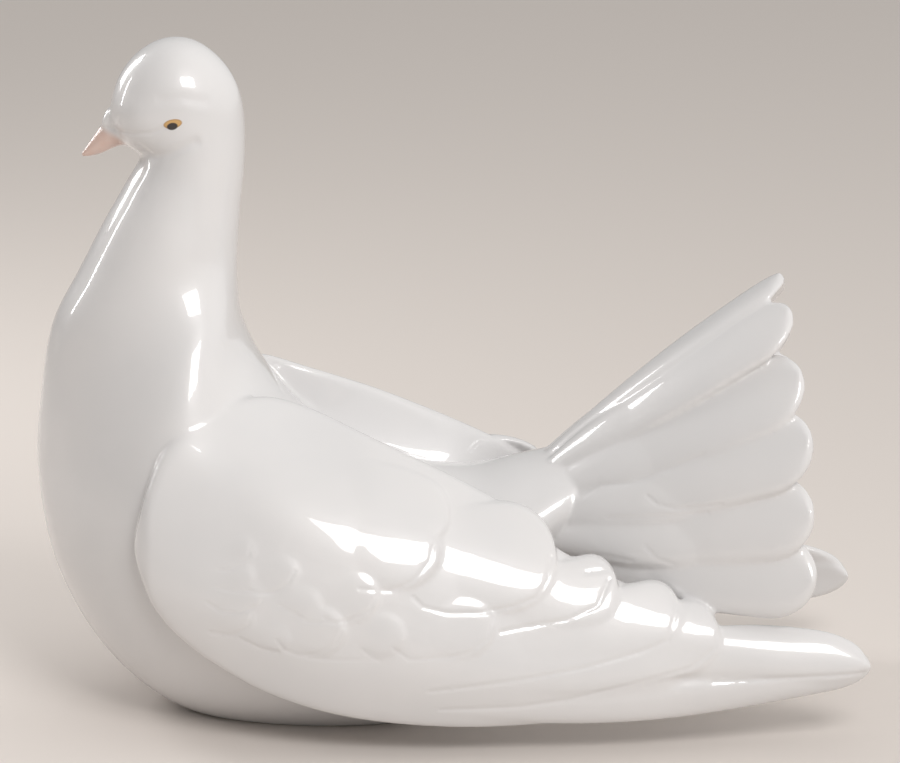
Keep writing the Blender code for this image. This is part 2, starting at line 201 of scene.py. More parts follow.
# The wing is thickest under its top, where it runs into the back
WING_FILL = 27
WING_FILL_SLOPES = (0.45, 1.15)  # from the low edge, from the high edge
WING_FREE = (38, 72)  # between these x it parts from the body
WING_END = 0.4  # how blunt the wing's two ends are
WING_SQUARENESS = 3.4  # of its edges, where 2 is round
FLIGHT_SQUARENESS = 2.6
FEATHER_SQUARENESS = 7
TAIL_SQUARENESS = 2.8
TAIL_TIP = (0.84, 1)  # the shares of its length between which a tail feather thins
TAIL_TIP_THINNING = 0.45
TIP_ROUNDNESS = 2.3

# Feathers of the wing: root, middle and tip on its face (x, z), half the width,
# and how far the whole feather is raised
FLIGHTS = [
    ((16, 17), (94, 16.4), (163.3, 25.8), 6.4, 0.0),
    ((70, 27), (118, 30.5), (162, 26.4), 8.2, 0.8),
]
SECONDARIES = [
    ((28, 25.5), (73, 30), (117.5, 37.2), 10.2, 0.4),
    ((31, 33), (70, 38.6), (106, 42.8), 9.6, 0.7),
    ((37, 49), (64, 48.6), (87, 50.8), 9.2, 1.0),
]
COVERTS = [
    ((16, 62), (43, 60.5), (68.5, 58), 14.5, 0.9),
    ((-8, 71), (13, 66), (33.5, 61.8), 11, 0.4),
    ((-5, 84.5), (16, 78.3), (36, 70), 8.5, 0.3),
    ((16, 47.5), (34, 41.8), (50, 42), 9.2, 0.1),
    ((-4, 48), (11, 42), (23, 38.8), 7.4, 0.1),
    ((-26, 47.5), (-8, 42), (5.5, 42), 8, 0.2),
    ((-38, 46.5), (-23, 41.4), (-11, 38.7), 5.6, -0.05),
    ((-13, 58), (3, 52), (15.5, 51.2), 8, 0.15),
    ((-26, 56), (-12, 51.9), (-2, 48.6), 5.6, 0.1),
    ((-33, 63.5), (-19, 58.8), (-8.5, 58.6), 6.2, 0.05),
    ((-42, 62.5), (-31, 59.1), (-21.5, 56.8), 4.9, 0.1),
    ((-41, 69), (-30, 64.8), (-21.5, 65), 5.6, 0.0),
    ((-42, 56), (-29, 51.6), (-18.5, 50.9), 4.9, 0.1),
    ((-42, 50), (-31, 45), (-21.5, 45), 5.6, 0.0),
]
FLIGHT_RAMP = (0.15, 1)  # the shares of its length between which a feather rises
SECONDARY_RAMP = (0.15, 1)
COVERT_RAMP = (0.3, 1)
FEATHER_SUNK = 0.5  # the share of its length over which it comes out of the skin
FEATHER_WAIST = 0.75  # its width at the root, as a share of its width
FEATHER_FULL = 0.7  # where on its length it has its full width
FEATHER_CAMBER = 0.3  # how much lower a feather's edges are than its middle
LOOK_AHEAD = 0.02  # the share of a feather's length over which its direction is taken
CLOSED_END = 1e-4  # the share of a loft's length at either end that is one point

# Tail feathers from the top one down one side: root, tip, half the width
TAIL = [
    ((60, 0, 73.5), (137, 0, 136), 10.5),
    ((60, -6, 71), (138.6, -19.5, 129.5), 12),
    ((60, -11, 67), (141.6, -33, 112.8), 13.2),
    ((60, -15, 62.5), (144.2, -43, 95.6), 13.4),
    ((60, -17.5, 58), (144.8, -49, 74), 13.4),
    ((60, -18.5, 54.5), (145.6, -53, 54.3), 13.2),
]
TAIL_COVERTS = [
    ((60, -7, 70), (106, -13, 104), 8),
    ((60, -12, 66.5), (112, -25.5, 93), 9),
    ((60, -16, 62), (117, -35.5, 79), 9.5),
    ((60, -18, 57.5), (115, -40, 63), 9),
]
TAIL_COVERT_LIFT = 1.3
TAIL_WAIST = 0.5  # a feather's width at its root, as a share of its width
TAIL_LAP = 8.5  # degrees by which each feather is turned to lie on the next one
TAIL_BOW = 2.4  # how far a feather arches over between root and tip

# Lines scored on both sides: how deep, half the width, nearest to the middle, and x, z
SCORED = [
    (0.35, 0.7, 3, [(-66.5, 181.6), (-62.1, 181.3), (-57.3, 181.8), (-52.4, 182.5), (-48.7, 184.2)]),
    (0.7, 1.5, 3, [(-56.3, 177.2), (-54.6, 175.4), (-52.7, 174.5), (-48, 175.7), (-42.5, 178.4),
                   (-39.5, 179.9)]),
    (0.3, 1.6, 3, [(-49.5, 192.7), (-43.3, 193.4), (-36.8, 192.1)]),
    (0.3, 0.6, 40, [(67, 60), (65.9, 54.3), (62.6, 49.7), (55.5, 47.2), (45.6, 45.9), (35.8, 46.1),
                    (28.7, 48.1), (25.7, 51.1)]),
    (0.25, 0.6, 40, [(31.9, 65.3), (30.8, 61.2), (25.7, 55.8), (19.2, 53.2), (10, 54.2)]),
    (0.2, 0.5, 40, [(49.5, 44.2), (48, 38.7), (42.4, 34.5), (34.9, 33.1), (24.5, 32.7), (19.5, 36.6)]),
    (0.15, 0.5, 40, [(10.5, 35.9), (13.5, 33.4), (15.9, 32.4)]),
    (0.2, 0.5, 40, [(5.2, 43.1), (2.8, 38), (-2, 35), (-7.9, 33.7), (-12.7, 35.5), (-15, 38.7)]),
    (0.2, 0.5, 40, [(-25.9, 38.4), (-19.9, 35.6), (-14.5, 34.7)]),
    (0.2, 0.5, 40, [(15, 52.1), (13, 48.2), (7, 45.1), (2.3, 44.4), (-0.7, 45.8)]),
    (0.15, 0.5, 40, [(-13.8, 49), (-10.2, 47.4), (-5.5, 44.5), (0.5, 44.7)]),
    (0.2, 0.5, 40, [(-9.3, 59.1), (-11.4, 55.6), (-15.6, 53.1), (-19.7, 52.5), (-23.9, 53.5)]),
    (0.15, 0.5, 40, [(-32.9, 53.6), (-28.1, 53), (-23.9, 52.9)]),
    (0.15, 0.5, 40, [(-32.3, 58.9), (-28.7, 58.8), (-23.3, 62.8), (-22.4, 65.7)]),
    (0.2, 0.5, 40, [(-18.8, 50.7), (-20.3, 48.9), (-26.3, 46.5), (-31.7, 46.7), (-35.9, 49.1)]),
    (0.2, 0.5, 40, [(-22.2, 45.8), (-23.4, 42.6), (-28.3, 38.9), (-34.9, 39.5)]),
    (0.15, 0.5, 40, [(-5.6, 33.2), (3.4, 32.7), (12.3, 32.8)]),
    (0.3, 0.6, 40, [(84.3, 53), (80.9, 46.5), (71.6, 42.9), (57.6, 40.9), (51.6, 40)]),
    (0.22, 0.6, 40, [(104.8, 44.7), (101.9, 36), (93.5, 32.9), (77, 28.9), (57.6, 25.8), (30.7, 22.4)]),
    (0.22, 0.6, 40, [(117, 37.5), (116, 33.2), (108.8, 27.6), (96.2, 24.5), (71.7, 18.9), (57, 16.9),
                    (33.7, 16.2)]),
    (0.4, 0.7, 40, [(115.5, 22.7), (138.1, 23.4), (160.8, 24)]),
    (0.25, 0.6, 15, [(76.4, 71.2), (81.8, 75.4), (91.6, 77.2), (102.9, 82.7), (112.7, 87.8)]),
    (0.25, 0.6, 15, [(96.1, 74.3), (99, 72.4), (105.2, 71.6), (112.6, 72.9), (117.9, 74.3)]),
    (0.2, 0.6, 15, [(84.1, 66.7), (99.9, 69), (114.1, 71.1)]),
    (0.2, 0.6, 15, [(95.4, 60), (99, 56.5), (103.8, 55.3)]),
    (0.2, 0.6, 15, [(77.3, 55.2), (84.1, 55.6), (91.6, 55)]),
]
SCORE_REACH = 3  # how many half widths out a scored line is felt

# Paint, on the bird's own numbers: the eye's middle x, z, its half sizes and its slant,
# and the edge of the pink of the bill
EYE = (-46.1, 185.5)
EYE_SIZE = (2.8, 1.4)
PUPIL = (-46.25, 184.75)
PUPIL_SIZE = (1.65, 1.1)
EYE_SLANT = 12
BILL_EDGE = (-69.6, 182.4)
BILL_EDGE_TURN = 242.4  # which way the paint lies from the edge, in degrees from +X
BILL_FADE = (-63.5, -58.5)
EYE_RIM = (0.35, 0.3)  # width of the brown line round the eye, along and across it
SPECK = (156, 45.5)  # a spot in the glaze of the right wing
SPECK_SIZE = (0.9, 0.9)

# Where the paint fades in and the glaze ends, in metres
BILL_SOFT = (-0.0010, 0.0018)  # from just before the edge of the pink to just past it
BILL_BASE_Z = (0.164, 0.166)  # only above these
SPECK_Y = (0.03, 0.031)  # only past these
FOOT_Z = (0.0002, 0.0006)  # the glaze is wiped off below these

# How soft the edge of each oval is, as a share of the oval, and how strong its colour is
EYE_SOFT = 0.09
RIM_SOFT = 0.15
PUPIL_SOFT = 0.16
SPECK_SOFT = 0.5
EYE_SHARE = 0.92
RIM_SHARE = 0.45
SPECK_SHARE = 0.5

# Colours of glaze, paint and bare clay
GLAZE_THIN = (0.700, 0.691, 0.690, 1)
GLAZE_POOLED = (0.725, 0.712, 0.708, 1)
PINK = (0.66, 0.475, 0.405, 1)
AMBER = (0.60, 0.33, 0.075, 1)
RIM_BROWN = (0.26, 0.14, 0.06, 1)
PUPIL_BROWN = (0.010, 0.005, 0.004, 1)
SPECK_BROWN = (0.45, 0.33, 0.16, 1)
CLAY_DARK = (0.60, 0.57, 0.53, 1)
CLAY_PALE = (0.68, 0.66, 0.62, 1)
GLAZE_ROUGHNESS = (0.32, 0.38)
CLAY_ROUGHNESS = 0.9
COAT_WEIGHT = 1.0
COAT_ROUGHNESS = 0.05

# Unevenness: the scale, detail and roughness of each noise, and the values of a noise
# between which one look fades into the other
POOLING = (28, 3, 0.5)
BRUSHING = (420, 3, 0.6)
GRIT = (900, 4, 0.7)
DULLING = (55, 4, 0.6)
RIPPLE = (75, 2, 0.4)
MIDDLE = (0.3, 0.7)
BRUSH_MIDDLE = (0.25, 0.75)
BRUSHED_SHARE = (0.85, 1.0)  # how much pink there is where it is thin, and where it is thick
RIPPLE_DEPTH = 0.00007  # in metres

# The lights: name, place, aim, width and height, power and colour
LIGHTS = [
    ("key_box", (0.40, -0.97, 0.88), (-0.02, 0, 0.12), (0.52, 0.35), 7.6, (1, 0.985, 0.975)),
    ("rim_box", (-0.48, 0.36, 0.40), (0, 0, 0.14), (0.16, 0.30), 1.3, (1, 0.985, 0.98)),
    ("side_strip", (-0.74, 0.17, 0.34), (-0.04, 0, 0.12), (0.045, 0.26), 0.6, (1, 0.985, 0.98)),
    ("ceiling", (0.10, 0.15, 1.5), (0.02, 0.10, 0), (1.6, 1.2), 3.6, (1, 0.985, 0.965)),
]
NOT_MIRRORED = {"ceiling"}  # lights that don't show in the glaze

# The studio, in metres: the strength of the light from the head's side and the tail's,
# the floor, and the camera, with its lens and sensor in millimetres
WORLD_AHEAD = 0.18
WORLD_BEHIND = 0.85
WORLD_COLOUR = (1, 0.985, 0.97, 1)
FLOOR_HALF = 4
FLOOR_SQUARES = 40
FLOOR_COLOUR = (0.725, 0.672, 0.63, 1)
FLOOR_ROUGHNESS = 0.9
CAMERA_AIM = (0.0367, 0, 0.10152)
CAMERA_DISTANCE = 1.6
CAMERA_TILT = 15  # degrees down
CAMERA_LENS = 209.3
CAMERA_SENSOR = 36
CAMERA_REACH = 50


def curve(stations, rows, places):
    """Rows that stand at stations, read at other places on a smooth curve."""
    slopes = np.gradient(rows, stations, axis=0)
    first = np.clip(np.searchsorted(stations, places, side="right") - 1, 0, len(stations) - 2)
    span = (stations[first + 1] - stations[first])[:, None]
    part = np.clip((places - stations[first])[:, None] / span, 0, 1)
    low, high = rows[first], rows[first + 1]
    rise = part * part * (3 - 2 * part)
    bend_low = part * (1 - part) ** 2
    bend_high = part * part * (part - 1)
    bend = slopes[first] * bend_low + slopes[first + 1] * bend_high
    return low + (high - low) * rise + span * bend


def smooth(rows, places):
    """Rows at fractional row numbers, on a smooth curve through all of them."""
    return curve(np.arange(len(rows)), np.asarray(rows, float), places)


def ease(low, high, value):
    """0 below low, 1 above high and a soft rise between them."""
    part = np.clip((value - low) / (high - low), 0, 1)
    return part * part * (3 - 2 * part)


def squared(wave, power):
    """A sine or cosine drawn out, so that a circle becomes a rounded square."""
    return np.sign(wave) * np.abs(wave) ** (2 / power)


def flat_ring(around, power):
    """A rounded square, as places across it and places out from its middle."""
    across = np.cos(around)
    out = np.sign(np.sin(around)) * (1 - np.abs(across) ** power) ** (1 / power)
    return across, out


def wing_face(x, z):
    """How far the wing's face is from the middle of the bird."""
    table = np.asarray(WING_FACE, float)
    rows = curve(table[:, 0], table[:, 1:], x)
    low, high, reaches = rows[:, 0], rows[:, 1], rows[:, 2:]
    steps = reaches.shape[1] - 1
    place = np.clip((z - low) / (high - low), -PAST_FACE, 1 + PAST_FACE) * steps
    first = np.clip(np.floor(place).astype(int), 0, steps - 1)[:, None]
    part = np.clip(place - first[:, 0], 0, 1)
    slopes = np.gradient(reaches, axis=1)
    start, end, start_slope, end_slope = (
        np.take_along_axis(values, column, 1)[:, 0]
        for values, column in ((reaches, first), (reaches, first + 1), (slopes, first), (slopes, first + 1))
    )
    rise = part * part * (3 - 2 * part)
    bend = start_slope * part * (1 - part) ** 2 + end_slope * part * part * (part - 1)
    past = place - np.clip(place, 0, steps)
    return start + (end - start) * rise + bend + past * np.where(past < 0, start_slope, end_slope)


def make(name, mesh_size, place, group):
    """A ball whose points are moved to place(along, around), as a closed skin."""
    rings, sides = mesh_size
    form = bmesh.new()
    bmesh.ops.create_uvsphere(form, u_segments=sides, v_segments=rings, radius=1)
    ball = np.array([vert.co for vert in form.verts])
    along = np.arccos(np.clip(ball[:, 2], -1, 1)) / math.pi
    around = np.arctan2(ball[:, 1], ball[:, 0])
    for vert, point in zip(form.verts, place(along, around)):
        vert.co = point * UNIT
    bmesh.ops.recalc_face_normals(form, faces=form.faces)
    mesh = bpy.data.meshes.new(name)
    form.to_mesh(mesh)
    form.free()
    mesh.shade_smooth()
    thing = bpy.data.objects.new(name, mesh)
    group.objects.link(thing)
    return thing


def loft(rows):
    """Elliptical rings between a top line and a bottom line, closed at both ends."""

    def place(along, around):
        table = smooth(rows, along * (len(rows) - 1))
        top, bottom, width, skew = table[:, 0:2], table[:, 2:4], table[:, 4], table[:, 5]
        middle = (top + bottom) / 2
        arm = (bottom - top) / 2
        inner = (along > CLOSED_END) & (along < 1 - CLOSED_END)
        down = np.where(inner, np.cos(around), 0)
        across = np.where(inner, np.sin(around) * (1 - skew * np.cos(around)), 0)
        return np.column_stack((
            middle[:, 0] + arm[:, 0] * down,
            width * across,
            middle[:, 1] + arm[:, 1] * down,
        ))

    return place


def turned_ball(centre, radii, degrees):
    """An egg turned about the Y axis."""
    cos, sin = math.cos(math.radians(degrees)), math.sin(math.radians(degrees))

    def place(along, around):
        ring = np.sin(math.pi * along)
        x = radii[0] * ring * np.cos(around)
        y = radii[1] * ring * np.sin(around)
        z = radii[2] * np.cos(math.pi * along)
        return np.column_stack((
            centre[0] + x * cos + z * sin,
            centre[1] + y,
            centre[2] - x * sin + z * cos,
        ))

    return place


def wing_place(side):
    """The wing as a slab that follows its face and is filled in towards the back."""

    def place(along, around):
        rows = smooth(WING_OUTLINE, along * (len(WING_OUTLINE) - 1))
        x, low, high = rows.T
        ring = np.clip(np.sin(math.pi * along) / WING_END, 0, 1)
        across = squared(np.cos(around), WING_SQUARENESS)
        out = squared(np.sin(around), WING_SQUARENESS) * ring
        z = (low + high) / 2 + (high - low) / 2 * across * (0.5 + 0.5 * ring)
        fill = np.minimum(WING_FILL_SLOPES[0] * (z - low), WING_FILL_SLOPES[1] * (high - z))
        fill = np.clip(fill, 0, WING_FILL) * (1 - ease(*WING_FREE, x))
        edge = WING_EDGE / UNIT
        middle = wing_face(x, z) - edge / 2
        reach = middle + np.where(out > 0, edge / 2, edge / 2 + fill) * out
        return np.column_stack((x, side * reach, z))

    return place


def feather_shape(along, across, width, root_share, tip_length):
    """Places along a feather's line, and across it, for a rounded tip."""
    run = (1 - np.cos(math.pi * along)) / 2
    tip = np.clip((run - 1 + tip_length) / tip_length, 0, 1)
    grow = root_share + (1 - root_share) * ease(0, FEATHER_FULL, run)
    return run, across * width * grow * (1 - tip ** TIP_ROUNDNESS) ** 0.5


def wing_feather(side, row, thickness, taper, ramp, squareness):
    """A feather that lies on the wing's face, buried at its root."""
    root, middle, tip, width, rise = row
    line = np.array((root, middle, tip), float)
    length = np.linalg.norm(line[2] - line[0])
    step = FEATHER_STEP / UNIT * min(1, width / FULL_STEP_WIDTH) ** 2

    def place(along, around):
        across, out = flat_ring(around, squareness)
        tip_length = min(MOST_TAPER, taper * width / length)
        run, off = feather_shape(along, across, width, FEATHER_WAIST, tip_length)
        spot = smooth(line, run * 2)
        ahead = smooth(line, np.minimum(run + LOOK_AHEAD, 1) * 2)
        ahead -= smooth(line, np.minimum(run, 1 - LOOK_AHEAD) * 2)
        ahead /= np.linalg.norm(ahead, axis=1)[:, None]
        x = spot[:, 0] - ahead[:, 1] * off
        z = spot[:, 1] + ahead[:, 0] * off
        top = (rise + step) * ease(*ramp, run) - FEATHER_ROOT / UNIT * (1 - ease(0, FEATHER_SUNK, run))
        top = top - FEATHER_CAMBER * across ** 2
        reach = wing_face(x, z) + top - thickness / 2 + thickness / 2 * out
        return np.column_stack((x, side * reach, z))

    return place


def tail_line(number):
    """Where a tail feather's tip is, counting on past the top one to the other side."""
    tip = np.array(TAIL[min(abs(number), len(TAIL) - 1)][1], float)
    if number < 0:
        tip[1] = -tip[1]
    return tip


def tail_feather(side, root, tip, width, number, thickness, lift):
    """A feather that follows the arch of the tail and lies on the one below it."""
    root = np.array(root, float)
    tip = np.array(tip, float)
    ahead = (tip - root) / np.linalg.norm(tip - root)
    down_way = tail_line(number + 1) - tail_line(number - 1)
    down_way -= ahead * down_way.dot(ahead)
    down_way /= np.linalg.norm(down_way)
    out_way = np.cross(down_way, ahead)
    turn = math.radians(TAIL_LAP if number else 0)
    across_way = down_way * math.cos(turn) + out_way * math.sin(turn)
    face_way = out_way * math.cos(turn) - down_way * math.sin(turn)

    def place(along, around):
        across, out = flat_ring(around, TAIL_SQUARENESS)
        length = np.linalg.norm(tip - root)
        run, off = feather_shape(along, across, width, TAIL_WAIST, TAIL_TAPER * width / length)
        bow = 4 * TAIL_BOW * run * (1 - run)
        thin = 1 - TAIL_TIP_THINNING * ease(*TAIL_TIP, run)
        depth = lift + bow - across ** 2 + thickness / 2 * (out - 1) * thin
        points = root + np.outer(run, tip - root) + np.outer(off, across_way) + np.outer(depth, face_way)
        points[:, 1] *= side
        return points

    return place


def add_wing(side, group):
    name = "left" if side < 0 else "right"
    make(f"{name}_wing", WING_MESH, wing_place(side), group)
    flight = FLIGHT_THICKNESS / UNIT
    for number, row in enumerate(FLIGHTS):
        feather = wing_feather(side, row, flight, FLIGHT_TAPER, FLIGHT_RAMP, FLIGHT_SQUARENESS)
        make(f"{name}_flight_{number}", LONG_MESH, feather, group)
    for number, row in enumerate(SECONDARIES):
        feather = wing_feather(side, row, flight, SECONDARY_TAPER, SECONDARY_RAMP, FEATHER_SQUARENESS)
        make(f"{name}_secondary_{number}", LONG_MESH, feather, group)
    for number, row in enumerate(COVERTS):
        feather = wing_feather(side, row, flight, COVERT_TAPER, COVERT_RAMP, FEATHER_SQUARENESS)
        make(f"{name}_covert_{number}", SHORT_MESH, feather, group)


def add_tail(side, group):
    name = "left" if side < 0 else "right"
    thickness = TAIL_THICKNESS / UNIT
    for number, (root, tip, width) in enumerate(TAIL):
        if number == 0 and side > 0:
            continue
        place = tail_feather(-side, root, tip, width, number, thickness, 0)
        make(f"{name}_tail_{number}", TAIL_MESH, place, group)
    for number, (root, tip, width) in enumerate(TAIL_COVERTS):
        place = tail_feather(-side, root, tip, width, number + 1, thickness, TAIL_COVERT_LIFT)
        make(f"{name}_tail_covert_{number}", SHORT_MESH, place, group)


def collection(name):
    group = bpy.data.collections.new(name)
    bpy.context.scene.collection.children.link(group)
    return group


def evaluated(thing):
    """The object's mesh with its modifiers applied."""
    graph = bpy.context.evaluated_depsgraph_get()
    return bpy.data.meshes.new_from_object(thing.evaluated_get(graph))


def cutter(name, build_form, centre, group):
    form = bmesh.new()
    build_form(form)
    mesh = bpy.data.meshes.new(name)
    form.to_mesh(mesh)
    form.free()
    thing = bpy.data.objects.new(name, mesh)
    thing.location = centre
    group.objects.link(thing)


def points_of(mesh):
    points = np.empty(len(mesh.vertices) * 3)
    mesh.vertices.foreach_get("co", points)
    return points.reshape(-1, 3)


def set_points(mesh, points):
    mesh.vertices.foreach_set("co", points.ravel())
    mesh.update()


def normals_of(mesh):
    normals = np.empty(len(mesh.vertices) * 3)
    mesh.vertex_normals.foreach_get("vector", normals)
    return normals.reshape(-1, 3)


def smoothed(points, edges, passes, share):
    """Moves each point by its share towards the middle of its neighbours, again and again."""
    count = len(points)
    ends = np.concatenate((edges[:, 0], edges[:, 1]))
    others = np.concatenate((edges[:, 1], edges[:, 0]))
    number = np.bincount(ends, minlength=count)[:, None]
    for _ in range(passes):
        sums = [np.bincount(ends, weights=points[others, axis], minlength=count) for axis in range(3)]
        points = points + share * (np.column_stack(sums) / number - points)
    return points


def fused_skin():
    """All the shapes as one fine closed skin."""
    shapes = collection("shapes")
    cutters = collection("cutters")
    body = make("body", BODY_MESH, loft(BODY), shapes)
    make("face", FACE_MESH, turned_ball(FACE_CENTRE, FACE_RADII, FACE_TURN), shapes)
    make("bill", BILL_MESH, loft(BILL), shapes)
    for side in (-1, 1):
        centre = (CERE_CENTRE[0], side * CERE_CENTRE[1], CERE_CENTRE[2])
        make(f"cere_{side}", CERE_MESH, turned_ball(centre, CERE_RADII, CERE_TURN), shapes)
        add_wing(side, shapes)
        add_tail(side, shapes)

    def below_table(form):
        bmesh.ops.create_cube(form, size=1)
        bmesh.ops.scale(form, vec=(HEIGHT, HEIGHT, TABLE_CUT), verts=form.verts)

    def vent(form):
        bmesh.ops.create_cone(form, cap_ends=True, segments=VENT_SIDES, radius1=VENT_RADIUS,
                              radius2=VENT_RADIUS, depth=2 * VENT_DEPTH)

    cutter("below_table", below_table, (0, 0, -TABLE_CUT / 2), cutters)
    cutter("vent", vent, (VENT_FROM_ORIGIN, 0, 0), cutters)
    step = body.modifiers.new("table", "BOOLEAN")
    step.operation = "DIFFERENCE"
    step.operand_type = "COLLECTION"
    step.collection = cutters
    step.solver = "EXACT"

    form = bmesh.new()
    for thing in shapes.objects:
        form.from_mesh(evaluated(thing))
    mesh = bpy.data.meshes.new("shapes")
    form.to_mesh(mesh)
    form.free()
    joined = bpy.data.objects.new("joined", mesh)
    bpy.context.scene.collection.objects.link(joined)
    remesh = joined.modifiers.new("skin", "REMESH")
    remesh.mode = "VOXEL"
    remesh.voxel_size = VOXEL
    skin = evaluated(joined)
    for thing in list(shapes.objects) + list(cutters.objects) + [joined]:
        bpy.data.objects.remove(thing, do_unlink=True)
    for group in (shapes, cutters):
        bpy.data.collections.remove(group)
    return skin


def from_line(x, z, line):
    """How far each place is from a line drawn in x and z."""
    nearest = np.full(len(x), np.inf)
    for start, end in zip(line[:-1], line[1:]):
        step = np.subtract(end, start)
        from_x, from_z = x - start[0], z - start[1]
        part = np.clip((from_x * step[0] + from_z * step[1]) / step.dot(step), 0, 1)
        nearest = np.minimum(nearest, np.hypot(from_x - part * step[0], from_z - part * step[1]))
    return nearest


def scored(points, normals):
    """The points with the scored lines pressed in."""
    x, y, z = points.T / UNIT
    depth = np.zeros(len(points))
    for deep, half_width, nearest, line in SCORED:
        reach = SCORE_REACH * half_width
        corners = np.array(line)
        low, high = corners.min(axis=0) - reach, corners.max(axis=0) + reach
        near = (np.abs(y) > nearest) & (y * normals[:, 1] > 0)
        near &= (x > low[0]) & (x < high[0]) & (z > low[1]) & (z < high[1])
        away = from_line(x[near], z[near], line) / half_width
        depth[near] = np.maximum(depth[near], deep * np.exp(-away ** 2))
    return points - normals * depth[:, None] * UNIT


def glazed_skin():
    """The fused skin, softened as the glaze softens it, with the scored lines."""
    skin = fused_skin()
    points = points_of(skin)
    edges = np.empty(len(skin.edges) * 2, int)
    skin.edges.foreach_get("vertices", edges)
    edges = edges.reshape(-1, 2)
    x, z = points[:, 0], points[:, 2]
    bill = ease(*BILL_X, x) * ease(*BILL_Z, z)
    throat = ease(*THROAT_Z, z) * ease(*THROAT_X, x)
    head = ease(*HEAD_Z, z) * ease(*HEAD_X, x) * (1 - bill) * (1 - THROAT_SPARED * throat)
    shoulder = ease(*SHOULDER_X, x) * ease(*SHOULDER_LOW_Z, z) * ease(*SHOULDER_HIGH_Z, z)
    points = smoothed(points, edges, GLAZE_PASSES, (PASS_SHARE * (1 - BILL_SPARED * bill))[:, None])
    points = smoothed(points, edges, HEAD_PASSES, (PASS_SHARE * head)[:, None])
    points = smoothed(points, edges, SHOULDER_PASSES, (PASS_SHARE * shoulder)[:, None])
    set_points(skin, points)
    points = scored(points, normals_of(skin))
    points[:, 2] = np.maximum(points[:, 2], 0)
    set_points(skin, points)
    return skin


def light_copy(skin):
    """The skin with fewer triangles, which keeps the fine skin's normals."""
    fine = bpy.data.objects.new("fine", skin)
    bpy.context.scene.collection.objects.link(fine)
    skin.shade_smooth()
    dove = bpy.data.objects.new("glazed_dove", skin.copy())
    bpy.context.scene.collection.objects.link(dove)
    triangles = sum(len(face.vertices) - 2 for face in skin.polygons)
    fewer = dove.modifiers.new("fewer", "DECIMATE")
    fewer.ratio = min(1, MOST_TRIANGLES / triangles)
    fewer.use_collapse_triangulate = True
    dove.data = evaluated(dove)
    dove.modifiers.clear()
    dove.data.shade_smooth()
    shading = dove.modifiers.new("shading", "DATA_TRANSFER")
    shading.object = fine
    shading.use_loop_data = True
    shading.data_types_loops = {"CUSTOM_NORMAL"}
    shading.loop_mapping = "POLYINTERP_NEAREST"
    dove.data = evaluated(dove)
    dove.modifiers.clear()
    bpy.data.objects.remove(fine, do_unlink=True)
    return dove


class Painter:
    """Adds sums and fades to a node material. Lengths are in metres."""

    def __init__(self, tree):
        self.tree = tree
        place = self.add("ShaderNodeTexCoord").outputs["Object"]
        split = self.add("ShaderNodeSeparateXYZ")
        self.join(place, split.inputs[0])
        self.place = place
        self.x, self.y, self.z = split.outputs

    def add(self, kind):
        return self.tree.nodes.new(kind)

    def join(self, value, socket):
        if isinstance(value, bpy.types.NodeSocket):
            self.tree.links.new(value, socket)
        else:
            socket.default_value = value

    def sum(self, operation, *values):
        node = self.add("ShaderNodeMath")
        node.operation = operation
        for value, socket in zip(values, node.inputs):
            self.join(value, socket)
        return node.outputs[0]

    def fade(self, value, low, high, start=0.0, end=1.0):
        node = self.add("ShaderNodeMapRange")
        node.interpolation_type = "SMOOTHSTEP"
        self.join(value, node.inputs["Value"])
        self.join(low, node.inputs["From Min"])
        self.join(high, node.inputs["From Max"])
        self.join(start, node.inputs["To Min"])
        self.join(end, node.inputs["To Max"])
        return node.outputs["Result"]

    def noise(self, scale, detail, roughness):
        node = self.add("ShaderNodeTexNoise")
        self.join(self.place, node.inputs["Vector"])
        node.inputs["Scale"].default_value = scale
        node.inputs["Detail"].default_value = detail
        node.inputs["Roughness"].default_value = roughness
        return node.outputs["Fac"]

    def mix(self, share, under, over):
        node = self.add("ShaderNodeMix")
        node.data_type = "RGBA"
        self.join(share, node.inputs["Factor"])
        self.join(under, node.inputs["A"])
        self.join(over, node.inputs["B"])
        return node.outputs["Result"]

    def oval(self, centre, half_sizes, degrees, soft):
        """1 inside an oval drawn in x and z, right through the bird, and 0 outside it."""
        cos, sin = math.cos(math.radians(degrees)), math.sin(math.radians(degrees))
        x = self.sum("SUBTRACT", self.x, centre[0] * UNIT)
        z = self.sum("SUBTRACT", self.z, centre[1] * UNIT)
        along = self.sum("ADD", self.sum("MULTIPLY", x, cos), self.sum("MULTIPLY", z, sin))
        across = self.sum("SUBTRACT", self.sum("MULTIPLY", z, cos), self.sum("MULTIPLY", x, sin))
        along = self.sum("DIVIDE", along, half_sizes[0] * UNIT)
        across = self.sum("DIVIDE", across, half_sizes[1] * UNIT)
        squares = self.sum("ADD", self.sum("MULTIPLY", along, along), self.sum("MULTIPLY", across, across))
        return self.fade(self.sum("SQRT", squares), 1 - soft, 1 + soft, 1.0, 0.0)


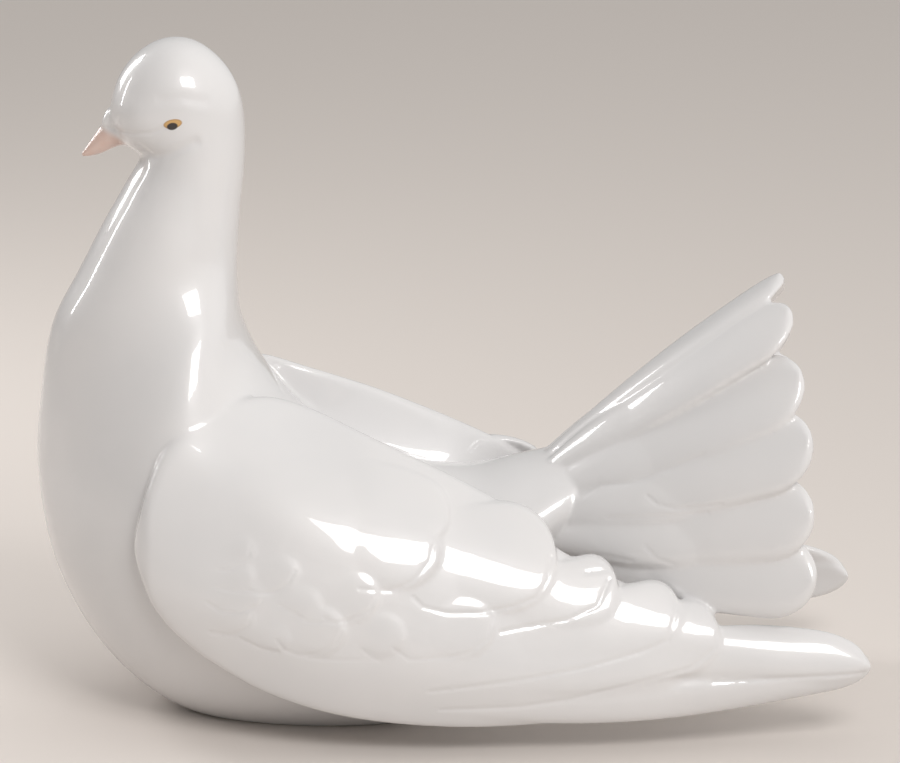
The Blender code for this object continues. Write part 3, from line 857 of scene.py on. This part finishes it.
def porcelain():
    """White glaze that pools a little unevenly, with the painted bill and eyes and a bare foot."""
    material = bpy.data.materials.new("glazed_porcelain")
    material.use_nodes = True
    shader = material.node_tree.nodes["Principled BSDF"]
    paint = Painter(material.node_tree)

    pooled = paint.fade(paint.noise(*POOLING), *MIDDLE)
    colour = paint.mix(pooled, GLAZE_THIN, GLAZE_POOLED)

    turn = math.radians(BILL_EDGE_TURN)
    past_x = paint.sum("MULTIPLY", paint.sum("SUBTRACT", paint.x, BILL_EDGE[0] * UNIT), math.cos(turn))
    past_z = paint.sum("MULTIPLY", paint.sum("SUBTRACT", paint.z, BILL_EDGE[1] * UNIT), math.sin(turn))
    bill = paint.fade(paint.sum("ADD", past_x, past_z), *BILL_SOFT)
    before = paint.fade(paint.x, BILL_FADE[0] * UNIT, BILL_FADE[1] * UNIT, 1.0, 0.0)
    bill = paint.sum("MULTIPLY", bill, before)
    bill = paint.sum("MULTIPLY", bill, paint.fade(paint.z, *BILL_BASE_Z))
    brushed = paint.fade(paint.noise(*BRUSHING), *BRUSH_MIDDLE, *BRUSHED_SHARE)
    colour = paint.mix(paint.sum("MULTIPLY", bill, brushed), colour, PINK)

    iris = paint.oval(EYE, EYE_SIZE, EYE_SLANT, EYE_SOFT)
    colour = paint.mix(paint.sum("MULTIPLY", iris, EYE_SHARE), colour, AMBER)
    within_size = (EYE_SIZE[0] - EYE_RIM[0], EYE_SIZE[1] - EYE_RIM[1])
    within = paint.oval(EYE, within_size, EYE_SLANT, RIM_SOFT)
    rim = paint.sum("SUBTRACT", iris, within)
    colour = paint.mix(paint.sum("MULTIPLY", rim, RIM_SHARE), colour, RIM_BROWN)
    pupil = paint.oval(PUPIL, PUPIL_SIZE, EYE_SLANT, PUPIL_SOFT)
    colour = paint.mix(pupil, colour, PUPIL_BROWN)

    speck = paint.oval(SPECK, SPECK_SIZE, 0, SPECK_SOFT)
    speck = paint.sum("MULTIPLY", speck, paint.fade(paint.y, *SPECK_Y))
    colour = paint.mix(paint.sum("MULTIPLY", speck, SPECK_SHARE), colour, SPECK_BROWN)

    foot = paint.fade(paint.z, *FOOT_Z, 1.0, 0.0)
    grit = paint.fade(paint.noise(*GRIT), *MIDDLE)
    colour = paint.mix(foot, colour, paint.mix(grit, CLAY_DARK, CLAY_PALE))
    paint.join(colour, shader.inputs["Base Color"])

    dull = paint.fade(paint.noise(*DULLING), *MIDDLE, *GLAZE_ROUGHNESS)
    dull = paint.sum("MAXIMUM", dull, paint.sum("MULTIPLY", foot, CLAY_ROUGHNESS))
    paint.join(dull, shader.inputs["Roughness"])
    shader.inputs["Coat Weight"].default_value = COAT_WEIGHT
    shader.inputs["Coat Roughness"].default_value = COAT_ROUGHNESS

    ripple = paint.add("ShaderNodeBump")
    ripple.inputs["Strength"].default_value = 1
    ripple.inputs["Distance"].default_value = RIPPLE_DEPTH
    paint.join(paint.noise(*RIPPLE), ripple.inputs["Height"])
    paint.join(ripple.outputs["Normal"], shader.inputs["Coat Normal"])
    paint.join(ripple.outputs["Normal"], shader.inputs["Normal"])
    return material


def area_light(name, place, aim, size, power, colour):
    light = bpy.data.lights.new(name, "AREA")
    light.shape = "RECTANGLE"
    light.size, light.size_y = size
    light.energy = power
    light.color = colour
    thing = bpy.data.objects.new(name, light)
    thing.location = place
    thing.rotation_euler = (Vector(aim) - Vector(place)).to_track_quat("-Z", "Y").to_euler()
    thing.visible_camera = False
    thing.visible_glossy = name not in NOT_MIRRORED
    bpy.context.scene.collection.objects.link(thing)


def add_camera():
    data = bpy.data.cameras.new("camera")
    data.sensor_width = CAMERA_SENSOR
    data.lens = CAMERA_LENS
    data.clip_end = CAMERA_REACH
    thing = bpy.data.objects.new("camera", data)
    tilt = math.radians(CAMERA_TILT)
    ahead = Vector((0, math.cos(tilt), -math.sin(tilt)))
    thing.location = Vector(CAMERA_AIM) - CAMERA_DISTANCE * ahead
    thing.rotation_euler = (math.pi / 2 - tilt, 0, 0)
    bpy.context.scene.collection.objects.link(thing)
    bpy.context.scene.camera = thing


def add_floor():
    form = bmesh.new()
    bmesh.ops.create_grid(form, x_segments=FLOOR_SQUARES, y_segments=FLOOR_SQUARES, size=FLOOR_HALF)
    mesh = bpy.data.meshes.new("floor")
    form.to_mesh(mesh)
    form.free()
    floor = bpy.data.objects.new("floor", mesh)
    bpy.context.scene.collection.objects.link(floor)
    material = bpy.data.materials.new("paper_sweep")
    material.use_nodes = True
    shader = material.node_tree.nodes["Principled BSDF"]
    shader.inputs["Base Color"].default_value = FLOOR_COLOUR
    shader.inputs["Roughness"].default_value = FLOOR_ROUGHNESS
    mesh.materials.append(material)


def add_world():
    """A pale studio round the bird, brighter on the tail's side than on the head's."""
    world = bpy.data.worlds.new("studio")
    world.use_nodes = True
    nodes = world.node_tree.nodes
    links = world.node_tree.links
    way = nodes.new("ShaderNodeTexCoord")
    split = nodes.new("ShaderNodeSeparateXYZ")
    span = nodes.new("ShaderNodeMapRange")
    span.interpolation_type = "SMOOTHSTEP"
    span.inputs["From Min"].default_value = -1
    span.inputs["From Max"].default_value = 1
    span.inputs["To Min"].default_value = WORLD_AHEAD
    span.inputs["To Max"].default_value = WORLD_BEHIND
    links.new(way.outputs["Generated"], split.inputs[0])
    links.new(split.outputs["X"], span.inputs["Value"])
    links.new(span.outputs["Result"], nodes["Background"].inputs["Strength"])
    nodes["Background"].inputs["Color"].default_value = WORLD_COLOUR
    bpy.context.scene.world = world


add_camera()
add_floor()
add_world()
for light in LIGHTS:
    area_light(*light)
bpy.context.scene.view_settings.view_transform = "Standard"

dove = light_copy(glazed_skin())
dove.data.materials.clear()
dove.data.materials.append(porcelain())
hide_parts("dove")
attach(dove, "root")
